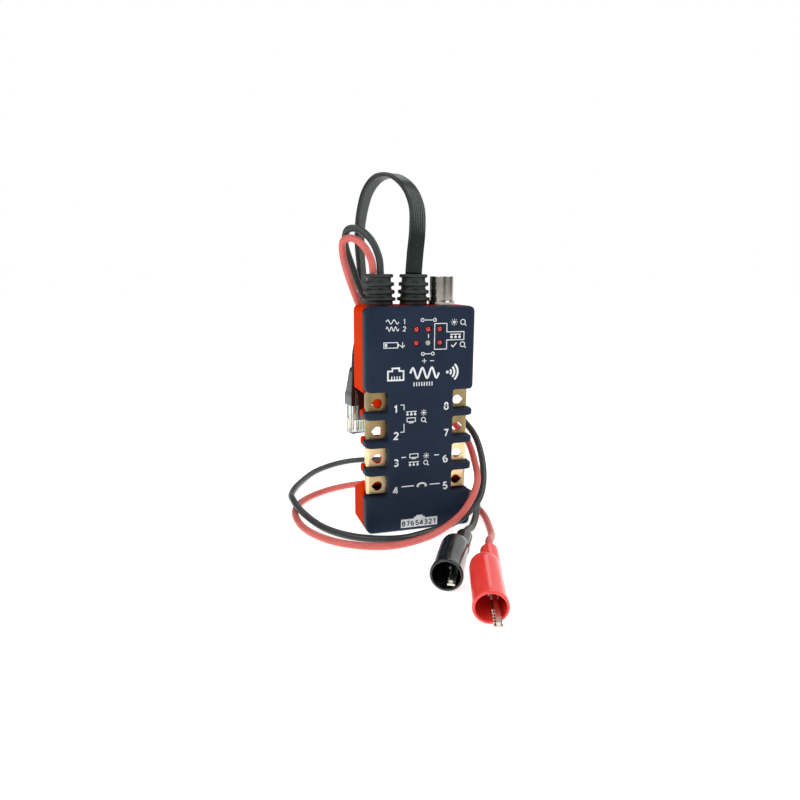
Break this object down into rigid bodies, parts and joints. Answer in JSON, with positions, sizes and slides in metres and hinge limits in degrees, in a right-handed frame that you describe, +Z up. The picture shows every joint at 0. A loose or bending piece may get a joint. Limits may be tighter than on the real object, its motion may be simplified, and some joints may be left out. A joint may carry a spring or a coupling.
{
  "type": "cable tone generator",
  "caption": "Hand-held cable tone generator: cased box with side terminals, two clip leads, a flat network lead and a push-on coax connector",
  "frame": {"origin": "middle of the base of the case", "axes": "+X to the right seen from the front, +Y to the back, +Z up; the front face looks towards -Y"},
  "size_m": [0.1076, 0.2338, 0.1806],
  "materials": {
    "navy_shell": "fine texture, satin",
    "orange_shell": "smooth moulded, satin",
    "plated_steel": "tin plated",
    "steel_wire": "drawn wire",
    "circuit_green": "solder mask",
    "component_black": "moulded",
    "component_tan": "ceramic",
    "button_rubber": "matt",
    "led_red": "tinted lens",
    "led_clear": "water-clear lens",
    "terminal_brass": "pressed sheet, slightly tarnished",
    "black_rubber": "matt with a slight sheen",
    "nickel": "bright nickel plate",
    "white_insulator": "smooth",
    "copper_pin": "bare wire",
    "battery_jacket": "plain wrapped can",
    "black_vinyl": "glossy soft vinyl",
    "flat_cable_jacket": "smooth flexible jacket",
    "clear_plastic": "clear moulded",
    "gold_contact": "gold plated",
    "red_lead_jacket": "satin flexible jacket",
    "black_lead_jacket": "satin flexible jacket",
    "red_vinyl": "glossy soft vinyl"
  },
  "bodies": {
    "case": {"front_cover": "navy_shell", "rear_housing": "orange_shell", "case_screws": "plated_steel", "circuit_board": "circuit_green", "controller_chip": "component_black", "board_parts": "component_tan", "line_transformer": "component_black", "mode_switch": "component_black", "led_tone": "led_red", "led_continuity": "led_red", "led_blink": "led_red", "led_low_battery": "led_red", "led_polarity": "led_clear", "led_found": "led_red", "terminal_1": "terminal_brass", "terminal_2": "terminal_brass", "terminal_3": "terminal_brass", "terminal_4": "terminal_brass", "terminal_5": "terminal_brass", "terminal_6": "terminal_brass", "terminal_7": "terminal_brass", "terminal_8": "terminal_brass", "lead_strain_relief": "black_rubber", "flat_strain_relief": "black_rubber", "coax_sleeve": "nickel", "coax_nut": "plated_steel", "coax_insulator": "white_insulator", "coax_pin": "copper_pin", "battery": "battery_jacket", "battery_snap": "black_vinyl", "flat_cable": "flat_cable_jacket", "plug_boot": "black_vinyl", "plug_body": "clear_plastic", "plug_contacts": "gold_contact", "red_lead": "red_lead_jacket", "red_boot": "red_vinyl", "red_fixed_jaw": "plated_steel", "red_pivot": "steel_wire", "red_spring": "steel_wire", "black_lead": "black_lead_jacket", "black_boot": "black_vinyl", "black_fixed_jaw": "plated_steel", "black_pivot": "steel_wire", "black_spring": "steel_wire"},
    "battery_door": {"battery_door": "orange_shell"},
    "mode_button": {"mode_button": "button_rubber"},
    "plug_latch": {"plug_latch": "clear_plastic"},
    "red_jaw": {"red_moving_jaw": "plated_steel"},
    "black_jaw": {"black_moving_jaw": "plated_steel"}
  },
  "joints": [
    {"name": "battery_door_slide", "type": "slide", "parent": "case", "child": "battery_door", "axis": [0, 0, -1], "range_m": [0, 0.03]},
    {"name": "mode_button_press", "type": "slide", "parent": "case", "child": "mode_button", "axis": [-1, 0, 0], "range_m": [0, 0.0008], "stiffness_N_per_m": 400},
    {"name": "plug_latch_press", "type": "hinge", "parent": "case", "child": "plug_latch", "pos_m": [-0.02172, 0.02213, 0.0456], "axis": [-0.9781, -0.2079, 0], "range_deg": [0, 7], "stiffness_Nm_per_rad": 0.01},
    {"name": "red_jaw_open", "type": "hinge", "parent": "case", "child": "red_jaw", "pos_m": [0.00093, -0.10028, 0.00667], "axis": [-0.9426, 0.3338, 0], "range_deg": [0, 12], "stiffness_Nm_per_rad": 0.02},
    {"name": "black_jaw_open", "type": "hinge", "parent": "case", "child": "black_jaw", "pos_m": [-0.00384, -0.07174, 0.00551], "axis": [-0.8746, 0.4848, 0], "range_deg": [0, 12], "stiffness_Nm_per_rad": 0.02}
  ]
}
